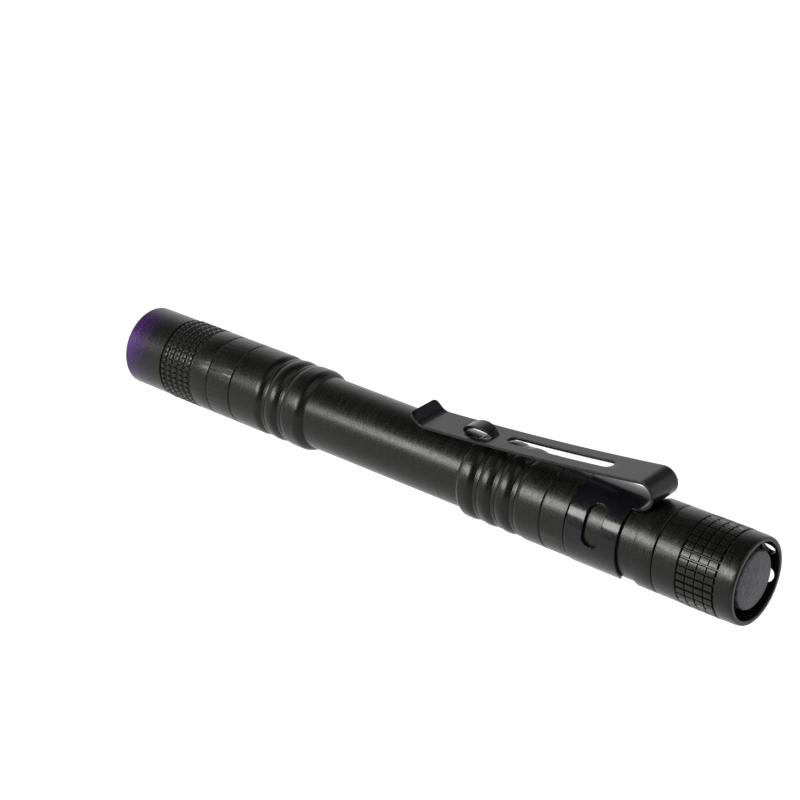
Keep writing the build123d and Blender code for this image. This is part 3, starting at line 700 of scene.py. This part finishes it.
# ---------------------------------------------------------------- materials
def surface(name, colour, rough, metallic=0.0, grain=1500, vary=0.2, rough_vary=0.15, slow=90,
            slow_vary=0.1, bump=0.1, depth=0.01, speck=0, edge=0.0, edge_colour=(0.3, 0.3, 0.3),
            tangent=False, **constants):
    """Principled finish with fine grain, slow unevenness, bump and worn edges.

    grain, slow and speck are noise scales per metre, and grain may differ along each axis.
    vary, rough_vary and slow_vary are shares of the colour or roughness.  depth is in
    millimetres, and edge is how much of edge_colour shows on a sharp convex edge.
    """
    material = bpy.data.materials.new(name)
    material.use_nodes = True
    tree = material.node_tree
    shader = tree.nodes["Principled BSDF"]
    add, link = tree.nodes.new, tree.links.new
    shader.inputs["Metallic"].default_value = metallic
    for socket, value in constants.items():
        shader.inputs[socket.replace("_", " ")].default_value = value

    where = add("ShaderNodeTexCoord")
    stretch = add("ShaderNodeMapping")
    stretch.inputs["Scale"].default_value = grain if isinstance(grain, tuple) else (grain,) * 3
    link(where.outputs["Object"], stretch.inputs["Vector"])
    fine = add("ShaderNodeTexNoise")
    fine.inputs["Scale"].default_value = 1.0
    fine.inputs["Detail"].default_value = 3.0
    fine.inputs["Roughness"].default_value = 0.6
    link(stretch.outputs["Vector"], fine.inputs["Vector"])
    broad = add("ShaderNodeTexNoise")
    broad.inputs["Scale"].default_value = slow
    broad.inputs["Detail"].default_value = 2.0
    link(where.outputs["Object"], broad.inputs["Vector"])

    texture = fine.outputs["Fac"]
    if speck:
        spots = add("ShaderNodeTexNoise")
        spots.inputs["Scale"].default_value = speck
        spots.inputs["Detail"].default_value = 1.0
        link(where.outputs["Object"], spots.inputs["Vector"])
        both = add("ShaderNodeMix")
        both.inputs["Factor"].default_value = 0.5
        link(fine.outputs["Fac"], both.inputs["A"])
        link(spots.outputs["Fac"], both.inputs["B"])
        texture = both.outputs["Result"]

    def spread(source, low, high):
        """Stretch the noise's usual range, 0.3 to 0.7, over low to high."""
        node = add("ShaderNodeMapRange")
        node.inputs["From Min"].default_value = 0.3
        node.inputs["From Max"].default_value = 0.7
        node.inputs["To Min"].default_value = low
        node.inputs["To Max"].default_value = high
        link(source, node.inputs["Value"])
        return node.outputs["Result"]

    def times(one, two):
        node = add("ShaderNodeMath")
        node.operation = "MULTIPLY"
        link(one, node.inputs[0])
        link(two, node.inputs[1])
        return node.outputs[0]

    shade = times(spread(texture, 1 - vary, 1 + vary),
                  spread(broad.outputs["Fac"], 1 - slow_vary, 1 + slow_vary))
    tint = add("ShaderNodeMix")
    tint.data_type = "RGBA"
    tint.blend_type = "MULTIPLY"
    tint.inputs["Factor"].default_value = 1.0
    tint.inputs["A"].default_value = (*colour, 1)
    link(shade, tint.inputs["B"])
    base = tint.outputs["Result"]
    if edge:
        shape = add("ShaderNodeNewGeometry")
        worn = add("ShaderNodeMapRange")
        worn.inputs["From Min"].default_value = 0.53
        worn.inputs["From Max"].default_value = 0.62
        worn.inputs["To Max"].default_value = edge
        link(shape.outputs["Pointiness"], worn.inputs["Value"])
        amount = times(worn.outputs["Result"], spread(broad.outputs["Fac"], 0.6, 1.2))
        bare = add("ShaderNodeMix")
        bare.data_type = "RGBA"
        link(amount, bare.inputs["Factor"])
        link(base, bare.inputs["A"])
        bare.inputs["B"].default_value = (*edge_colour, 1)
        base = bare.outputs["Result"]
    link(base, shader.inputs["Base Color"])

    polish = times(spread(texture, rough * (1 - rough_vary), rough * (1 + rough_vary)),
                   spread(broad.outputs["Fac"], 0.94, 1.06))
    link(polish, shader.inputs["Roughness"])
    height = add("ShaderNodeBump")
    height.inputs["Strength"].default_value = bump
    height.inputs["Distance"].default_value = depth * MM
    link(texture, height.inputs["Height"])
    link(height.outputs["Normal"], shader.inputs["Normal"])
    if tangent:
        around = add("ShaderNodeTangent")
        around.direction_type = "RADIAL"
        around.axis = "X"
        link(around.outputs["Tangent"], shader.inputs["Tangent"])
    return material


TURNED = (5200, 130, 130)       # streaks run round the barrel
anodised = surface("anodised", (0.0040, 0.0040, 0.0036), 0.28, grain=TURNED, vary=0.6, rough_vary=0.35,
                   bump=0.45, depth=0.010, speck=3400, edge=0.10, edge_colour=(0.10, 0.10, 0.09),
                   tangent=True, IOR=1.31, Anisotropic=0.3)
clip_black = surface("clip_black", (0.0045, 0.0045, 0.0060), 0.17, grain=1300, vary=0.4,
                     rough_vary=0.45, bump=0.18, depth=0.010, speck=3000, slow=160, slow_vary=0.3,
                     IOR=1.32)
boot_rubber = surface("boot_rubber", (0.048, 0.045, 0.052), 0.60, grain=3200, vary=0.95,
                      rough_vary=0.15, bump=0.6, depth=0.05, speck=1500, IOR=1.45)
seal_rubber = surface("seal_rubber", (0.012, 0.012, 0.013), 0.5, grain=1800, bump=0.3,
                      depth=0.02, IOR=1.5)
lens_glass = surface("lens_glass", (0.95, 0.97, 1.0), 0.03, grain=300, vary=0.02,
                     slow_vary=0.02, bump=0.01, depth=0.002, Transmission_Weight=1.0, IOR=1.5)
reflector_metal = surface("reflector_metal", (0.86, 0.87, 0.9), 0.12, 1.0, grain=500,
                          vary=0.05, slow_vary=0.05, bump=0.03, depth=0.01)
gasket_plastic = surface("gasket_plastic", (0.55, 0.54, 0.50), 0.5, grain=1200,
                         vary=0.08, bump=0.15, depth=0.02)
led_ceramic = surface("led_ceramic", (0.72, 0.71, 0.66), 0.45, grain=2500, vary=0.1,
                      bump=0.2, depth=0.01)
led_silicone = surface("led_silicone", (0.35, 0.16, 0.85), 0.12, grain=800, vary=0.08,
                       bump=0.02, depth=0.01, Emission_Color=(0.28, 0.06, 1.0, 1),
                       Emission_Strength=6.0)
board_white = surface("board_white", (0.70, 0.71, 0.70), 0.4, grain=1500, vary=0.06,
                      bump=0.1, depth=0.01)
board_green = surface("board_green", (0.015, 0.11, 0.035), 0.35, grain=(900, 2400, 2400), vary=0.25,
                      bump=0.2, depth=0.02)
chip_black = surface("chip_black", (0.02, 0.02, 0.021), 0.45, grain=3000, vary=0.3,
                     bump=0.2, depth=0.01)
brass = surface("brass", (0.62, 0.42, 0.16), 0.26, 1.0, grain=TURNED, vary=0.15, rough_vary=0.3,
                bump=0.2, depth=0.01, slow_vary=0.15, tangent=True)
spring_steel = surface("spring_steel", (0.50, 0.49, 0.46), 0.3, 1.0, grain=900,
                       vary=0.15, bump=0.15, depth=0.01)
wire_red = surface("wire_red", (0.45, 0.02, 0.015), 0.4, grain=1200, vary=0.12,
                   bump=0.1, depth=0.02)
cell_steel = surface("cell_steel", (0.62, 0.61, 0.58), 0.24, 1.0, grain=1200,
                     vary=0.1, bump=0.08, depth=0.01, slow_vary=0.15)
cell_jacket = surface("cell_jacket", (0.05, 0.09, 0.16), 0.3, grain=600, vary=0.15,
                      bump=0.08, depth=0.02)
cell_washer = surface("cell_washer", (0.6, 0.58, 0.5), 0.7, grain=2500, vary=0.15,
                      bump=0.3, depth=0.02)
switch_plastic = surface("switch_plastic", (0.03, 0.03, 0.032), 0.45, grain=1600,
                         vary=0.2, bump=0.2, depth=0.02)
plunger_plastic = surface("plunger_plastic", (0.65, 0.64, 0.6), 0.4, grain=1600,
                          vary=0.08, bump=0.1, depth=0.02)

SLOT_MATERIALS = {
    "black_anodised": anodised, "clip_steel": clip_black, "boot_rubber": boot_rubber,
    "seal_rubber": seal_rubber, "lens_glass": lens_glass, "reflector_metal": reflector_metal,
    "gasket_plastic": gasket_plastic, "led_ceramic": led_ceramic, "led_silicone": led_silicone,
    "board_white": board_white, "board_green": board_green, "chip_black": chip_black,
    "brass": brass, "spring_steel": spring_steel, "wire_red": wire_red, "cell_steel": cell_steel,
    "cell_jacket": cell_jacket, "cell_washer": cell_washer, "switch_plastic": switch_plastic,
    "plunger_plastic": plunger_plastic,
}
for entry in frame["record"]["subparts"]:
    node = nodes[entry["node"]]
    node.data.materials.clear()
    node.data.materials.append(SLOT_MATERIALS[entry["material_slot"]])

# ---------------------------------------------------------------- what rides on what
for obj, body, node, slot in (
    (body_tube, "barrel", "body_tube", "black_anodised"),
    (bezel, "head", "bezel_ring", "black_anodised"),
    (head, "head", "head_shell", "black_anodised"),
    (tail_cap, "tail", "tail_cap", "black_anodised"),
):
    obj.data.materials.clear()
    obj.data.materials.append(SLOT_MATERIALS[slot])
    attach(obj, body)
    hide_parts(node)


for obj, bodies, replaced, slot, start, end in (
    (boot, ("tail", "button"), ("rubber_boot",), "boot_rubber",
     station_point(LIP_START + 0.1), station_point(BOOT_TOP - 0.5)),
    (coil, ("tail", "button"), ("plunger_spring",), "spring_steel",
     station_point(COIL_BLEND[0]), station_point(COIL_BLEND[1])),
):
    obj.data.materials.clear()
    obj.data.materials.append(SLOT_MATERIALS[slot])
    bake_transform(obj)
    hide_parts(*replaced)

clip.data.materials.clear()
clip.data.materials.append(clip_black)
lean = radians(ARM_SLOPE)
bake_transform(clip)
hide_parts("clip_clamp", "clip_arm")

# ---------------------------------------------------------------- floor, light, camera
scene = bpy.context.scene
scene.view_settings.view_transform = "Standard"
scene.view_settings.look = "None"

FLOOR_Z = -0.030
FLOOR_SIZE = 4.0
# the room's grey by height, where 0.5 is level and 1 is straight up
ROOM_FIRST, ROOM_LAST = (0.50, 0.80), (0.90, 0.020)
ROOM_BETWEEN = ((0.72, 0.80), (0.81, 0.30))
DARK_SIDE = (0.70, -0.71, 0.0)  # the room is dark in this direction
DARK_RANGE = (0.1, 0.7)         # how far a direction points that way, from bright to dark
ROOM_STRENGTH = (1.5, 0.2)      # on the bright side and on the dark side
CAMERA_AT = (0.2079, -0.2488, 0.1815)
CAMERA_FORWARD = (-0.5802, 0.6771, -0.4526)
CAMERA_ROLL = -0.475            # degrees
CAMERA_LENS = 99.0


def grey(value):
    return (value, value, value, 1)


floor_mesh = bpy.data.meshes.new("floor")
floor_mesh.from_pydata(
    [(x * FLOOR_SIZE, y * FLOOR_SIZE, FLOOR_Z) for x, y in ((-1, -1), (1, -1), (1, 1), (-1, 1))],
    [], [(0, 1, 2, 3)],
)
floor = bpy.data.objects.new("floor", floor_mesh)
scene.collection.objects.link(floor)
paper = bpy.data.materials.new("paper")
paper.use_nodes = True
for socket, value in (
    ("Base Color", grey(0.20)), ("Roughness", 1.0), ("Specular IOR Level", 0.0),
    ("Emission Color", grey(1.0)), ("Emission Strength", 0.96),
):
    paper.node_tree.nodes["Principled BSDF"].inputs[socket].default_value = value
floor.data.materials.append(paper)

world = bpy.data.worlds.new("studio")
scene.world = world
world.use_nodes = True
tree = world.node_tree
background = tree.nodes["Background"]
direction = tree.nodes.new("ShaderNodeTexCoord")
parts = tree.nodes.new("ShaderNodeSeparateXYZ")
height = tree.nodes.new("ShaderNodeMapRange")
height.inputs["From Min"].default_value = -1.0
height.inputs["From Max"].default_value = 1.0
ramp = tree.nodes.new("ShaderNodeValToRGB")
ramp.color_ramp.interpolation = "EASE"
stops = ramp.color_ramp.elements
for stop, (at, value) in zip(stops, (ROOM_FIRST, ROOM_LAST)):
    stop.position, stop.color = at, grey(value)
for at, value in ROOM_BETWEEN:
    stops.new(at).color = grey(value)
tree.links.new(direction.outputs["Generated"], parts.inputs["Vector"])
tree.links.new(parts.outputs["Z"], height.inputs["Value"])
tree.links.new(height.outputs["Result"], ramp.inputs["Fac"])
tree.links.new(ramp.outputs["Color"], background.inputs["Color"])
facing = tree.nodes.new("ShaderNodeVectorMath")
facing.operation = "DOT_PRODUCT"
facing.inputs[1].default_value = DARK_SIDE
shade_side = tree.nodes.new("ShaderNodeMapRange")
for socket, value in zip(("From Min", "From Max", "To Min", "To Max"), DARK_RANGE + ROOM_STRENGTH):
    shade_side.inputs[socket].default_value = value
tree.links.new(direction.outputs["Generated"], facing.inputs[0])
tree.links.new(facing.outputs["Value"], shade_side.inputs["Value"])
tree.links.new(shade_side.outputs["Result"], background.inputs["Strength"])


def area_light(name, place_at, look_at, size, radiance, colour=(1, 1, 1)):
    """Soft panel of a given brightness, out of the camera's own sight."""
    data = bpy.data.lights.new(name, "AREA")
    data.shape = "RECTANGLE"
    data.size, data.size_y = size
    data.energy = radiance * pi * size[0] * size[1]
    data.color = colour
    lamp = bpy.data.objects.new(name, data)
    scene.collection.objects.link(lamp)
    lamp.location = place_at
    aim = Vector(look_at) - Vector(place_at)
    lamp.rotation_euler = aim.to_track_quat("-Z", "Y").to_euler()
    lamp.visible_camera = False
    return lamp


area_light("softbox", place_at=(-0.205, -0.49, 0.29), look_at=(0, 0, 0.007), size=(0.40, 0.18),
           radiance=21.0, colour=(1.0, 0.99, 0.96))
area_light("overhead", place_at=(0.8, 0.0, 1.0), look_at=(0.1, 0, 0), size=(1.2, 1.2), radiance=1.2)
glow = area_light("violet_glow", place_at=(-0.070, -0.030, 0.020), look_at=(-0.0655, 0, 0.008),
                  size=(0.006, 0.020), radiance=38.0, colour=(0.38, 0.05, 1.0))
glow.data.spread = radians(22)

camera_data = bpy.data.cameras.new("camera")
camera_data.lens = CAMERA_LENS
camera_data.sensor_width = 36.0
camera = bpy.data.objects.new("camera", camera_data)
scene.collection.objects.link(camera)
forward = Vector(CAMERA_FORWARD).normalized()
camera.matrix_world = (
    Matrix.Translation(CAMERA_AT)
    @ forward.to_track_quat("-Z", "Y").to_matrix().to_4x4()
    @ Matrix.Rotation(radians(CAMERA_ROLL), 4, "Z")
)
scene.camera = camera
